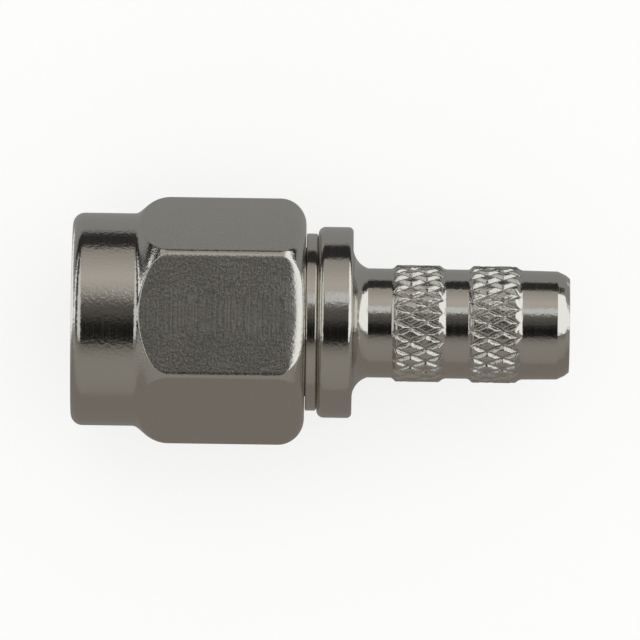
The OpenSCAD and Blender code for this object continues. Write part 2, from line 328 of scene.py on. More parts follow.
def nut_surface(s):
    """Grid of the nut: x and r as rows by columns, the angles, and a mark that is 1 where it is drawn.

    Outside, the radius is the smaller of the hexagon's and the turned outline's, worn into each other.
    The turned outline is the collar, a hollow foot, a cone and an arc up to the hexagon's corners, and a
    quarter circle down to the rear face. In each column the rows crowd to the two places where the
    outlines cross. Inside, the radius is the larger of the turned hollow's and the thread's, whose
    flanks stand at 60 degrees along a right-hand helix.
    """
    sector = np.linspace(-1, 1, NUT_SECTOR_COLUMNS, endpoint=False)
    turn = np.pi / 6 * ((1 - CORNER_CROWDING) * sector + CORNER_CROWDING * np.sin(np.pi * sector / 2))
    angle = (np.arange(6)[:, None] * np.pi / 3 + turn).ravel()

    flat = s.across_flats / 2
    corner = (flat - s.corner_round) / math.cos(math.pi / 6) + s.corner_round
    front, rear = NUT_LOW.x, NUT_HIGH.x
    hex_front = front + s.collar_length
    collar = s.collar / 2
    minor, major = s.thread_minor / 2, s.thread_major / 2
    mouth, relief, lip = major + MOUTH_LEAD, major + RELIEF_DEPTH, s.lip / 2
    lip_front = rear - s.lip_length

    # Collar: front face, rounded edge, plain turned length
    edge = np.linspace(0, np.pi / 2, 13)
    collar_x = np.r_[front, front + s.collar_edge * (1 - np.cos(edge)), front + s.collar_edge + HUG]
    collar_r = np.r_[mouth + HUG, collar - s.collar_edge * (1 - np.sin(edge)), collar]

    # Turned outline from the collar to the rear face, and where the hexagon crosses it in each column
    outline = rounded_loop(
        [(hex_front, collar, s.collar_foot), (hex_front + s.front_cone, corner, s.front_shoulder),
         (rear, corner, s.rear_shoulder), (rear, lip, HUG), (front, lip, HUG), (front, collar, HUG)], ARC_STEPS,
    )[: 3 * (ARC_STEPS + 3)]
    top = int(np.argmax(outline[:, 1]))
    hexagon = hexagon_radius(angle, flat, s.corner_round)[None]
    leave = np.interp(hexagon, outline[: top + 1, 1], outline[: top + 1, 0])
    meet = np.interp(-hexagon, -outline[top:, 1], outline[top:, 0])
    share = np.linspace(0, 1, CONE_ROWS)[:, None]
    start = outline[0, 0]
    cone_x = start + (leave - start) * (1 - (1 - share) ** 1.5)
    flat_x = leave + (meet - leave) * (1 - np.cos(np.linspace(0, np.pi, FLAT_ROWS)[1:-1, None])) / 2
    fall = np.linspace(0, 1, SHOULDER_ROWS)[:, None]
    at = np.arcsin(np.clip((meet - rear + s.rear_shoulder) / s.rear_shoulder, 0, 1))
    shoulder_x = rear - s.rear_shoulder * (1 - np.sin(at + (np.pi / 2 - at) * fall))
    hex_x = np.concatenate([cone_x, flat_x, shoulder_x])
    turned_r = np.interp(hex_x, outline[:, 0], outline[:, 1])
    behind = np.arange(len(hex_x))[:, None] >= CONE_ROWS + FLAT_ROWS - 2
    turned_r = np.where(behind, corner - s.rear_shoulder * (1 - np.cos(np.arcsin(np.clip(
        (hex_x - rear + s.rear_shoulder) / s.rear_shoulder, 0, 1)))), turned_r)
    middle = 1 - smoothstep((hexagon - flat) / (corner - flat))
    half_way = smoothstep((hex_x - hex_front) / (rear - hex_front) * 2 - 0.5)
    wear = LEAST_WEAR + middle * (s.front_blend + (s.rear_blend - s.front_blend) * half_way)
    body_r = soft_min(hexagon + 0 * hex_x, turned_r, wear)
    drawn = smoothstep((turned_r - hexagon) / DRAWN_EDGE + 0.5)

    # Rear face, lip and relief
    back = rounded_loop(
        [(rear, corner - s.rear_shoulder, HUG), (rear, lip, LIP_EDGES[0]), (lip_front, lip, LIP_EDGES[1]),
         (lip_front, relief, LIP_EDGES[2]), (THREAD_RUN + relief - minor, relief, HUG), (THREAD_RUN, minor, HUG)],
        4,
    )[7:-7]

    # Thread, from its rear run-out to the mouth
    rows = int((back[-1, 0] - front) / s.pitch * THREAD_ROWS)
    thread_x = np.linspace(back[-1, 0] - HUG, front, rows)
    lead = mouth - (thread_x - front)
    run_out = np.minimum(minor + thread_x - THREAD_RUN, relief)
    hollow = np.maximum(minor, np.maximum(lead, run_out))
    beside_root = np.abs((thread_x[:, None] + s.pitch * angle / (2 * np.pi)) % s.pitch - s.pitch / 2)
    flank = minor + THREAD_ROOT + (s.pitch / 4 - beside_root) * math.sqrt(3)
    thread_r = np.maximum(hollow[:, None], np.clip(flank, minor, major))

    def plain(row):
        return np.repeat(row[:, None], len(angle), 1)

    x = np.concatenate([plain(collar_x), hex_x, plain(back[:, 0]), plain(thread_x)])
    r = np.concatenate([plain(collar_r), body_r, plain(back[:, 1]), thread_r])
    mark = np.zeros(x.shape)
    mark[len(collar_x) : len(collar_x) + len(hex_x)] = drawn
    return x, r, angle, mark


BUSHING_CHAMFER = 0.12 * MM  # chamfer on the bushing's front edge
SEAL_UNDERCUT = 0.1 * MM  # depth of the undercut that holds the seal
RING_GROOVE = 0.55 * MM, 0.05 * MM, 2.3 * MM  # how far ahead of the lip the ring's groove starts and ends; its radius
NECK_GAP = 0.02 * MM  # between the nut and the neck
SPIGOT, CAVITY = 2.42 * MM, 1.9 * MM  # radii outside and inside the spigot that is pressed into the shell
SPIGOT_CLEARANCE, SPIGOT_END_GAP = 0.01 * MM, 0.05 * MM  # round the spigot, and ahead of it
CAVITY_LENGTH = 1.16 * MM  # from the flange's front face


def shell_section(s, nut):
    """Section of the front shell, from the bushing's rim over the barrel, ring groove and neck to the bores."""
    front, rear = SHELL_LOW.x, SHELL_HIGH.x
    bushing, barrel, neck, bore = s.bushing / 2, s.barrel / 2, s.neck / 2, s.line_bore / 2
    seal_front, shoulder = SEAL_LOW.x, SEAL_HIGH.x
    neck_front = NUT_HIGH.x + NECK_GAP
    lip_front = NUT_HIGH.x - nut.lip_length
    groove_front, groove_rear, groove = lip_front - RING_GROOVE[0], lip_front - RING_GROOVE[1], RING_GROOVE[2]
    socket, socket_front = SPIGOT + SPIGOT_CLEARANCE, BODY_LOW.x - SPIGOT_END_GAP
    return rounded_loop(
        [(front, bore, SHARP), (front, bushing - BUSHING_CHAMFER, SHARP), (front + BUSHING_CHAMFER, bushing, SHARP),
         (seal_front, bushing, SHARP), (shoulder, bushing - SEAL_UNDERCUT, SHARP), (shoulder, barrel, 0.05 * MM),
         (groove_front, barrel, SHARP), (groove_front, groove, SHARP), (groove_rear, groove, SHARP),
         (groove_rear, barrel, SHARP), (neck_front, barrel, SHARP), (neck_front, neck, 0.05 * MM),
         (rear, neck, 0.1 * MM), (rear, socket, SHARP), (socket_front, socket, SHARP), (socket_front, bore, SHARP)]
    )


PIN_NOSE = 0.24 * MM  # length of the pin's tapered nose
CONTACT_RECESS = 0.1 * MM  # how far the contact's shoulder stands behind the mating plane
COLLAR_WIDTH, CUP_RADIUS = 0.35 * MM, 0.95 * MM  # the contact's collar, and the outside of its solder cup


def contact_section(s):
    """Section of the contact, from the pin's tip over the collar to the floor of the solder cup."""
    tip, end = CONTACT_LOW.x, CONTACT_HIGH.x
    pin, contact, collar, bore = s.pin / 2, s.contact / 2, CONTACT_HIGH.z, s.cup_bore / 2
    collar_front = BODY_LOW.x
    collar_rear = collar_front + COLLAR_WIDTH
    fine = 0.02 * MM
    loop = rounded_loop(
        [(tip - MM, 0, fine), (tip, 0.001 * MM, 0.0005 * MM), (tip, s.pin_tip / 2, 0.06 * MM),
         (tip + PIN_NOSE, pin, PIN_NOSE / 2),
         (CONTACT_RECESS, pin, fine), (CONTACT_RECESS, contact, fine), (collar_front, contact, fine),
         (collar_front, collar, 2 * fine), (collar_rear, collar, 2 * fine), (collar_rear, CUP_RADIUS, fine),
         (end, CUP_RADIUS, SHARP), (end, bore, 2 * fine), (end - s.cup_depth, bore, 0.05 * MM),
         (end - s.cup_depth, 0.001 * MM, 0.0005 * MM), (end + MM, 0, fine)]
    )
    points = 9
    inner = loop[2 * points : -2 * points]
    return np.concatenate([[(tip, 0)], inner, [(end - s.cup_depth, 0)]])


KNURL_STEPS = 20  # columns, and rows, from one groove to the next
KNURL_LEAD = 1.148 * MM  # length along the stem in which a groove turns by one pitch
SECOND_BAND_TURN = math.radians(5.25)  # how far the second band's knurl is turned from the first's
GROOVE_SLOPE = 1.12  # slope of a groove's sides against the surface
RAMP_SLOPES = 1.15, 0.85  # rise of the ramps before and behind a band, for their length
FOOT_BLEND, CREST_BLEND = 0.09 * MM, 0.03 * MM  # widths over which a ramp is rounded into stem and crests
SCRIBES = 4  # scribed lines from one groove to the next
SCRIBE_DEPTH = 0.016 * MM
GRAIN = 0.004 * MM  # unevenness of the crests
EDGE_WANDER = 0.006 * MM  # unevenness of a groove's sides
DEPTH_SPREAD = 0.9, 1.06  # least and most depth of a groove, as a share of the knurl's depth
FLANGE_EDGES = 0.27 * MM, 0.18 * MM  # radii on the flange's front and rear edges
STEM_TAPER = 0.02 * MM  # how much lower the stem is at its chamfer
CHAMFER_LENGTH, CHAMFER_DEPTH = 0.457 * MM, 0.285 * MM
CHAMFER_BULGE = 0.17 * MM, 0.15 * MM, 0.5 * MM  # the bulge's place ahead of the end, its depth and its radius
BORE_CHAMFER = 0.08 * MM


def uneven(shape, reach, rng):
    """Random heights, -1 to 1 or so, smoothed over a reach of rows and columns. The columns close."""
    field = rng.normal(size=shape)
    for axis, steps in enumerate(reach):
        field = sum(np.roll(field, step, axis) for step in range(-steps, steps + 1))
    return field / field.std()


def knurl_radius(x, angle, s, start, rng):
    """Radius of a knurled band: the crest less the deepest of two families of V grooves.

    The families are helices of opposite hand, and their bottoms run through corners of the grid. Each
    groove's depth and edges wander a little. The crests are uneven and bear fine scribed lines along one
    family, as rolled metal does.
    """
    starts = s.knurl_starts
    shape = np.broadcast_shapes(x.shape, angle.shape)
    place = (x - start - (s.knurl_band - 1.5 * KNURL_LEAD) / 2) / KNURL_LEAD
    across = 2 * np.pi / starts * s.knurl / 2 * math.cos(math.atan2(2 * np.pi / starts * s.knurl / 2, KNURL_LEAD))
    rough = uneven(shape, (1, 1), rng)
    deepest = np.zeros(shape)
    for hand in (1, -1):
        turns = starts * angle / (2 * np.pi) + hand * place
        off = np.abs(turns - np.round(turns)) * across
        groove = rng.uniform(*DEPTH_SPREAD, starts)[np.round(turns).astype(int) % starts] * s.knurl_depth
        edge = uneven(shape, (2, 2), rng) * EDGE_WANDER
        deepest = np.maximum(deepest, groove + edge - GROOVE_SLOPE * off)
    fine = SCRIBES * (starts * angle / (2 * np.pi) - place)
    line = rng.uniform(0.0, 1.0, starts * SCRIBES)[np.round(fine).astype(int) % (starts * SCRIBES)]
    scribed = SCRIBE_DEPTH * line * np.clip(1 - 3 * np.abs(fine - np.round(fine)), 0, None)
    skin = scribed * np.clip(uneven(shape, (3, 4), rng) + 0.6, 0, 1) - GRAIN * rough
    return s.knurl / 2 - GRAIN - np.maximum(deepest, np.clip(skin, -2 * GRAIN, None))


def body_surface(s):
    """Grid of the rear body: x and r as rows by columns, the angles, and a mark that is 1 on the knurls.

    The turned section is a rounded loop: flange, a hollow arc that meets the stem at a slight edge, stem,
    a bulging chamfer, bore and spigot. Rows between a band's two ends take the knurl's radius, held down
    to the stem by a ramp at each end.
    """
    columns = s.knurl_starts * KNURL_STEPS
    angle = np.arange(columns) * 2 * np.pi / columns
    flange_front = SHELL_HIGH.x
    flange_rear = flange_front + s.flange_length
    spigot_front, end = BODY_LOW.x, BODY_HIGH.x
    flange, stem, bore = s.flange / 2, s.stem / 2, s.cable_bore / 2
    chamfer = end - CHAMFER_LENGTH
    cavity_rear = flange_front + CAVITY_LENGTH
    first = flange_rear + s.knurl_first
    second = first + s.knurl_spacing
    rng = np.random.default_rng(7)

    ring = rounded_loop(
        [(spigot_front, SPIGOT, HUG), (flange_front, SPIGOT, SHARP), (flange_front, flange, FLANGE_EDGES[0]),
         (flange_rear, flange, FLANGE_EDGES[1]), (flange_rear, stem, HUG), (chamfer, stem, HUG)], 7
    )[10:40]
    slant = math.asin(1 - s.fillet_length / s.fillet)
    arc = np.r_[np.linspace(np.pi / 2, slant, 14)[:-1], slant + 0.02, slant]
    centre = (flange_rear + s.fillet, stem + s.fillet * math.cos(slant))
    hollow = np.stack([centre[0] - s.fillet * np.sin(arc), centre[1] - s.fillet * np.cos(arc)], -1)
    crease = hollow[-1] + np.array([[HUG, 0]])
    tail = rounded_loop(
        [(flange_rear, stem, HUG), (chamfer, stem - STEM_TAPER, HUG),
         (end - CHAMFER_BULGE[0], stem - CHAMFER_BULGE[1], CHAMFER_BULGE[2]),
         (end, stem - CHAMFER_DEPTH, 0.04 * MM), (end, bore + BORE_CHAMFER, SHARP),
         (end - BORE_CHAMFER, bore, SHARP), (cavity_rear, bore, SHARP),
         (cavity_rear, CAVITY, SHARP), (spigot_front, CAVITY, 0.04 * MM), (spigot_front, SPIGOT, 0.06 * MM),
         (flange_front, SPIGOT, HUG)], 3
    )[6:-6]
    step = KNURL_LEAD / KNURL_STEPS
    near = np.r_[-0.1, -0.07, -0.045, -0.02, 0.005, 0.03, 0.055] * MM
    core = (s.knurl_band - 1.5 * KNURL_LEAD) / 2 + np.arange(1.5 * KNURL_STEPS + 1) * step
    steps = np.r_[near, core, s.knurl_band - near[::-1]]
    bands = [start + steps for start in (first, second)]
    x = np.repeat(np.r_[ring[:, 0], hollow[:, 0], crease[:, 0], bands[0], bands[1], tail[:, 0]][:, None], columns, 1)
    head = np.concatenate([ring, hollow, crease])
    r = [np.repeat(head[:, 1:], columns, 1)]
    mark = np.zeros(x.shape)
    row = len(head)
    for start, band, turn in zip((first, second), bands, (0.0, SECOND_BAND_TURN)):
        along = band[:, None]
        before, behind = along - start, start + s.knurl_band - along
        rise = np.minimum(RAMP_SLOPES[0] * before, RAMP_SLOPES[1] * behind)
        rise = stem - soft_min(-rise, 0 * rise, FOOT_BLEND)
        crest = knurl_radius(along, (angle - turn)[None], s, start, rng)
        r.append(np.maximum(soft_min(crest, rise, CREST_BLEND), stem))
        mark[row : row + len(band)] = smoothstep((rise - crest) / (0.02 * MM) + 0.5)
        row += len(band)
    r.append(np.repeat(tail[:, 1:], columns, 1))
    return x, np.concatenate(r), angle, mark


# ---------------------------------------------------------------------------------------------------
# Finishes
# ---------------------------------------------------------------------------------------------------


def add(tree, kind, inputs=None, **settings):
    """Adds one node. A setting is a property of the node.

    An input is a value, a node, whose first output it takes, or a (node, output) pair.
    """
    node = tree.nodes.new(kind)
    for name, value in settings.items():
        setattr(node, name, value)
    for name, value in (inputs or {}).items():
        if isinstance(value, bpy.types.Node):
            tree.links.new(value.outputs[0], node.inputs[name])
        elif isinstance(value, tuple) and isinstance(value[0], bpy.types.Node):
            tree.links.new(value[0].outputs[value[1]], node.inputs[name])
        else:
            node.inputs[name].default_value = value
    return node


def finish_material(name):
    """An empty material with its output, its Principled shader and the object's coordinates."""
    material = bpy.data.materials.new(name)
    material.use_nodes = True
    tree = material.node_tree
    tree.nodes.clear()
    shader = add(tree, "ShaderNodeBsdfPrincipled")
    add(tree, "ShaderNodeOutputMaterial", {"Surface": (shader, "BSDF")})
    return material, tree, shader, add(tree, "ShaderNodeTexCoord")


def ring_marks(tree, place, scale, detail=3.0):
    """Noise that depends only on the place along the axis and the distance from it, as turning marks do."""
    parts = add(tree, "ShaderNodeSeparateXYZ", {"Vector": (place, "Object")})
    across = add(tree, "ShaderNodeCombineXYZ", {"Y": (parts, "Y"), "Z": (parts, "Z")})
    radius = add(tree, "ShaderNodeVectorMath", {0: (across, "Vector")}, operation="LENGTH")
    flat = add(tree, "ShaderNodeCombineXYZ", {"X": (parts, "X"), "Y": (radius, "Value")})
    return add(
        tree, "ShaderNodeTexNoise", {"Vector": (flat, "Vector"), "Scale": scale, "Detail": detail, "Roughness": 0.65},
        noise_dimensions="2D",
    )


# Roughness, pit depth, pit depth where rough, turning-mark depth
NUT_FINISH = (0.13, 0.008 * MM, 0.011 * MM, 0.0012 * MM)
BODY_FINISH = (0.11, 0.005 * MM, 0.016 * MM, 0.0016 * MM)
ROUGH_GAIN = 0.12  # roughness that the drawn flats and the knurls have over the turned skin
PIT_SCALE = 9000.0  # pits about 0.1 mm across
MARK_SCALE = 16000.0  # turning marks about 0.06 mm apart, coarser than real ones so that they show


def nickel(name, tint, roughness, pit_depth, rough_depth, ring_depth, rough=None):
    """Bright nickel plating over turned brass: a warm white metal whose satin comes from the skin under it.

    The plating follows fine pits in the brass, about 0.1 mm across. Turning marks run round the axis and
    change the gloss a little from one to the next. An attribute tells where the skin is rough, on drawn
    flats and rolled knurls: deeper pits, less gloss and no turning marks.
    """
    material, tree, shader, place = finish_material(name)
    shader.inputs["Base Color"].default_value = tint
    shader.inputs["Metallic"].default_value = 1.0
    rings = ring_marks(tree, place, MARK_SCALE)
    pits = add(tree, "ShaderNodeTexNoise",
               {"Vector": (place, "Object"), "Scale": PIT_SCALE, "Detail": 2.0, "Roughness": 0.55})
    handling = add(tree, "ShaderNodeTexNoise", {"Vector": (place, "Object"), "Scale": 700.0, "Detail": 4.0})
    worn = add(tree, "ShaderNodeMapRange",
               {"Value": (handling, "Fac"), "From Min": 0.3, "From Max": 0.7, "To Min": 0.85, "To Max": 1.15})
    streak = add(tree, "ShaderNodeMapRange",
                 {"Value": (rings, "Fac"), "From Min": 0.35, "From Max": 0.65,
                  "To Min": 0.7 * roughness, "To Max": 1.4 * roughness})
    gloss = add(tree, "ShaderNodeMath", {0: worn, 1: streak}, operation="MULTIPLY")
    pitting, marks = (pits, "Fac"), (rings, "Fac")
    if rough:
        skin = (add(tree, "ShaderNodeAttribute", attribute_name=rough), "Fac")
        gloss = add(tree, "ShaderNodeMath", {0: skin, 1: ROUGH_GAIN, 2: gloss}, operation="MULTIPLY_ADD")
        depth = add(tree, "ShaderNodeMapRange", {"Value": skin, "To Min": 1.0, "To Max": rough_depth / pit_depth})
        pitting = add(tree, "ShaderNodeMath", {0: pitting, 1: depth}, operation="MULTIPLY")
        still_turned = add(tree, "ShaderNodeMath", {0: 1.0, 1: skin}, operation="SUBTRACT")
        marks = add(tree, "ShaderNodeMath", {0: marks, 1: still_turned}, operation="MULTIPLY")
    tree.links.new(gloss.outputs["Value"], shader.inputs["Roughness"])
    pitted = add(tree, "ShaderNodeBump", {"Height": pitting, "Strength": 1.0, "Distance": pit_depth})
    cut = add(tree, "ShaderNodeBump",
              {"Height": marks, "Strength": 1.0, "Distance": ring_depth, "Normal": (pitted, "Normal")})
    tree.links.new(cut.outputs["Normal"], shader.inputs["Normal"])
    return material


def gold_plating(tint):
    """Hard gold plating on a machined contact: a deep yellow metal, smooth, with faint turning marks."""
    material, tree, shader, place = finish_material("hard_gold_plating")
    shader.inputs["Base Color"].default_value = tint
    shader.inputs["Metallic"].default_value = 1.0
    rings = ring_marks(tree, place, 26000.0)
    satin = add(tree, "ShaderNodeMapRange", {"Value": (rings, "Fac"), "To Min": 0.14, "To Max": 0.26})
    tree.links.new(satin.outputs["Result"], shader.inputs["Roughness"])
    cut = add(tree, "ShaderNodeBump", {"Height": (rings, "Fac"), "Distance": 0.0006 * MM})
    tree.links.new(cut.outputs["Normal"], shader.inputs["Normal"])
    return material


def spring_bronze(tint):
    """Phosphor bronze wire, rolled and stress-relieved: a brown metal with a dull, slightly mottled skin."""
    material, tree, shader, place = finish_material("phosphor_bronze")
    shader.inputs["Metallic"].default_value = 1.0
    mottle = add(tree, "ShaderNodeTexNoise", {"Vector": (place, "Object"), "Scale": 2500.0, "Detail": 4.0})
    shade = add(tree, "ShaderNodeValToRGB", {"Fac": (mottle, "Fac")})
    shade.color_ramp.elements[0].position, shade.color_ramp.elements[1].position = 0.35, 0.65
    shade.color_ramp.elements[0].color = tuple(0.72 * c for c in tint[:3]) + (1.0,)
    shade.color_ramp.elements[1].color = tint
    tree.links.new(shade.outputs["Color"], shader.inputs["Base Color"])
    satin = add(tree, "ShaderNodeMapRange", {"Value": (mottle, "Fac"), "To Min": 0.25, "To Max": 0.45})
    tree.links.new(satin.outputs["Result"], shader.inputs["Roughness"])
    return material


def silicone_rubber(tint):
    """Moulded silicone rubber: a matt orange-red with a soft sheen and the mould's fine spark texture."""
    material, tree, shader, place = finish_material("silicone_rubber")
    shader.inputs["Specular IOR Level"].default_value = 0.35
    shader.inputs["Base Color"].default_value = tint
    grain = add(tree, "ShaderNodeTexNoise", {"Vector": (place, "Object"), "Scale": 16000.0, "Detail": 2.0})
    matt = add(tree, "ShaderNodeMapRange", {"Value": (grain, "Fac"), "To Min": 0.5, "To Max": 0.7})
    tree.links.new(matt.outputs["Result"], shader.inputs["Roughness"])
    bump = add(tree, "ShaderNodeBump", {"Height": (grain, "Fac"), "Distance": 0.002 * MM})
    tree.links.new(bump.outputs["Normal"], shader.inputs["Normal"])
    return material


def turned_ptfe(tint):
    """PTFE rod turned to size: waxy white, a little translucent, with fine tool rings."""
    material, tree, shader, place = finish_material("turned_ptfe")
    shader.inputs["Base Color"].default_value = tint
    shader.inputs["IOR"].default_value = 1.38
    shader.inputs["Subsurface Weight"].default_value = 0.2
    shader.inputs["Subsurface Scale"].default_value = 0.3 * MM
    rings = ring_marks(tree, place, 18000.0, 2.0)
    waxy = add(tree, "ShaderNodeMapRange", {"Value": (rings, "Fac"), "To Min": 0.35, "To Max": 0.55})
    tree.links.new(waxy.outputs["Result"], shader.inputs["Roughness"])
    bump = add(tree, "ShaderNodeBump", {"Height": (rings, "Fac"), "Distance": 0.0015 * MM})
    tree.links.new(bump.outputs["Normal"], shader.inputs["Normal"])
    return material


# ---------------------------------------------------------------------------------------------------
# The studio
# ---------------------------------------------------------------------------------------------------

# Light of the tent round the X axis: degrees from straight up towards +Y, and radiance. The dark stretch
# overhead is the opening that the camera looks in through.
TENT = [
    (-180, 0.28), (-100, 0.26), (-87, 0.285), (-74, 0.30), (-61, 0.31), (-49, 0.31), (-40, 0.27), (-34, 0.21),
    (-31, 0.13), (-28, 0.05), (-25, 0.012), (-14, 0.010), (-8, 0.02), (-3, 0.05), (0, 0.08), (4, 0.095),
    (8, 0.10), (11, 0.11), (14, 0.14), (18, 0.22), (23, 0.33), (28, 0.42), (35, 0.52), (42, 0.56), (50, 0.52),
    (60, 0.45), (69, 0.40), (76, 0.36), (82, 0.33), (180, 0.28),
]
STRIP_TINT, END_TINT = "#fffaf3", "#f9fdff"
END_PANEL = (0.33, 0.37)  # where along the tent, as a share of its radius, the end panels fade in
END_SPREAD = (-27.0, 82.0)  # how far round the tent the end panels reach, in degrees like those above
END_BLUR, SHADE_BLUR = 1.5, 0.05  # half widths of their soft edges: degrees, and height over distance
END_LIGHT = 1.25
FRONT_SHADE = (0.25, 0.8)  # heights over distances between which the front panel is dark
FRONT_HIGH_LIGHT, SHADE_LIGHT = 0.75, 0.05
FLOOR_GLOW = (0.75, 0.05)  # the card's own light, as the camera sees it and as metal and glass see it
FLOOR_SHARE = 0.32  # share of the card's colour that camera and metal see beside that light
MATT_LIGHT = 1.0  # light of the cloth on matt surfaces
RAISED = ("front_card", "rear_card")  # they lie over the other cards
AIM = (0.024 * MM, 0.081 * MM)  # how far right and below the view's middle the plug's middle lies
LIFT = 0.01 * MM  # how far the flat cards lie over the floor

# Cards that only metal sees, in mm: a corner, the corners beside it, colour, and light
CARDS = {
    "dark_board": ((-30, 15.5, -1.1), (26, 15.5, -1.1), (-30, 15.5, 5.2), "#ffffff", 0.03),
    "near_strip": ((2.6, 21.0, 60.0), (60, 21.0, 60.0), (2.6, 38.0, 60.0), "#f8fcff", 0.75),
    "front_card": ((-6.0, -0.8, -4), (-90, -2.0, -4), (-6.0, 6.0, -4), "#ffffff", 1.1),
    "rear_card": ((19.0, -0.8, -4), (90, -2.0, -4), (19.0, 6.0, -4), "#ffffff", 1.1),
    "near_card": ((-60, -150, -4), (70, -150, -4), (-60, -3, -4), "#fff6ee", 0.235),
    "far_card": ((-60, 3, -4), (70, 3, -4), (-60, 150, -4), "#ffffff", 0.30),
}


def light_material(name, tint, light):
    """Card that gives one even light, whatever falls on it."""
    material = bpy.data.materials.new(name)
    material.use_nodes = True
    tree = material.node_tree
    tree.nodes.clear()
    glow = add(tree, "ShaderNodeEmission", {"Color": linear(tint), "Strength": light})
    add(tree, "ShaderNodeOutputMaterial", {"Surface": (glow, "Emission")})
    return material


def tent_material():
    """White cloth of a light tent, lit in strips from outside: its light depends on the direction only.

    Metal sees strips along the axis, and towards each end a bright panel. The panel at the nut's end has
    a dark stretch. Matt surfaces see plain white cloth, so that they are lit evenly.
    """
    material = bpy.data.materials.new("tent_cloth")
    material.use_nodes = True
    tree = material.node_tree
    tree.nodes.clear()
    place = add(tree, "ShaderNodeTexCoord")
    middle = add(tree, "ShaderNodeVectorMath", {0: (place, "Object")}, operation="NORMALIZE")
    parts = add(tree, "ShaderNodeSeparateXYZ", {"Vector": (middle, "Vector")})
    turn = add(tree, "ShaderNodeMath", {0: (parts, "Y"), 1: (parts, "Z")}, operation="ARCTAN2")
    share = add(tree, "ShaderNodeMapRange", {"Value": turn, "From Min": -math.pi, "From Max": math.pi})
    strip = add(tree, "ShaderNodeValToRGB", {"Fac": (share, "Result")})
    ramp = strip.color_ramp
    for degrees, light in TENT[1:-1]:
        ramp.elements.new(degrees / 360 + 0.5)
    tint = linear(STRIP_TINT)
    for element, (degrees, light) in zip(ramp.elements, TENT):
        element.position = degrees / 360 + 0.5
        element.color = (light * tint[0], light * tint[1], light * tint[2], 1.0)

    # Where the end panels are: far enough along X, and between two directions round it
    shares = []
    for value, start, full in (
        (turn, math.radians(END_SPREAD[0] - END_BLUR), math.radians(END_SPREAD[0] + END_BLUR)),
        (turn, math.radians(END_SPREAD[1] + END_BLUR), math.radians(END_SPREAD[1] - END_BLUR)),
        ((parts, "X"), *END_PANEL),
        ((parts, "X"), -END_PANEL[0], -END_PANEL[1]),
    ):
        shares.append(add(tree, "ShaderNodeMapRange", {"Value": value, "From Min": start, "From Max": full}))
    past_low, past_high, rear, front = shares
    beside = add(tree, "ShaderNodeMath", {0: past_low, 1: past_high}, operation="MULTIPLY")
    either = add(tree, "ShaderNodeMath", {0: rear, 1: front}, operation="ADD")
    ends = add(tree, "ShaderNodeMath", {0: either, 1: beside}, operation="MULTIPLY")

    # The front panel: lit at the bottom, dark, and lit again higher up
    out = add(tree, "ShaderNodeMath", {0: (parts, "X")}, operation="ABSOLUTE")
    height = add(tree, "ShaderNodeMath", {0: (parts, "Z"), 1: out}, operation="DIVIDE")
    below = add(tree, "ShaderNodeMapRange", {
        "Value": height, "From Min": FRONT_SHADE[0] + SHADE_BLUR, "From Max": FRONT_SHADE[0] - SHADE_BLUR})
    above = add(tree, "ShaderNodeMapRange", {
        "Value": height, "From Min": FRONT_SHADE[1] - SHADE_BLUR, "From Max": FRONT_SHADE[1] + SHADE_BLUR})
    low_light = add(tree, "ShaderNodeMath", {0: below, 1: END_LIGHT, 2: SHADE_LIGHT}, operation="MULTIPLY_ADD")
    front_light = add(
        tree, "ShaderNodeMath", {0: above, 1: FRONT_HIGH_LIGHT, 2: low_light}, operation="MULTIPLY_ADD")
    rear_light = add(tree, "ShaderNodeMath", {0: rear, 1: END_LIGHT}, operation="MULTIPLY")
    end_light = add(tree, "ShaderNodeMath", {0: front, 1: front_light, 2: rear_light}, operation="MULTIPLY_ADD")
    cloth = add(tree, "ShaderNodeEmission", {"Color": strip})
    panel = add(tree, "ShaderNodeEmission", {"Color": linear(END_TINT), "Strength": end_light})
    seen = add(tree, "ShaderNodeMixShader", {0: ends, 1: cloth, 2: panel})
    plain = add(tree, "ShaderNodeEmission", {"Strength": MATT_LIGHT})
    path = add(tree, "ShaderNodeLightPath")
    lit = add(tree, "ShaderNodeMixShader", {0: (path, "Is Diffuse Ray"), 1: seen, 2: plain})
    add(tree, "ShaderNodeOutputMaterial", {"Surface": lit})
    return material


def floor_material(tint):
    """Pale matt card. To the camera it glows up to white, and less to metal and glass; shadows stay."""
    material = bpy.data.materials.new("pale_card")
    material.use_nodes = True
    tree = material.node_tree
    tree.nodes.clear()
    path = add(tree, "ShaderNodeLightPath")
    clear = add(tree, "ShaderNodeMath",
                {0: (path, "Is Glossy Ray"), 1: (path, "Is Transmission Ray")}, operation="MAXIMUM")
    to_camera = add(tree, "ShaderNodeMath", {0: (path, "Is Camera Ray"), 1: FLOOR_GLOW[0]}, operation="MULTIPLY")
    to_clear = add(tree, "ShaderNodeMath", {0: clear, 1: FLOOR_GLOW[1]}, operation="MULTIPLY")
    glow = add(tree, "ShaderNodeMath", {0: to_camera, 1: to_clear}, operation="MAXIMUM")
    direct = add(tree, "ShaderNodeMath", {0: (path, "Is Camera Ray"), 1: clear}, operation="MAXIMUM")
    dimmed = tuple(FLOOR_SHARE * c for c in tint[:3]) + (1.0,)
    shade = add(tree, "ShaderNodeMix", {"Factor": direct, 6: tuple(tint), 7: dimmed}, data_type="RGBA")
    card = add(tree, "ShaderNodeBsdfDiffuse", {"Color": (shade, 2)})
    light = add(tree, "ShaderNodeEmission", {"Strength": glow})
    both = add(tree, "ShaderNodeAddShader", {0: card, 1: light})
    add(tree, "ShaderNodeOutputMaterial", {"Surface": both})
    return material


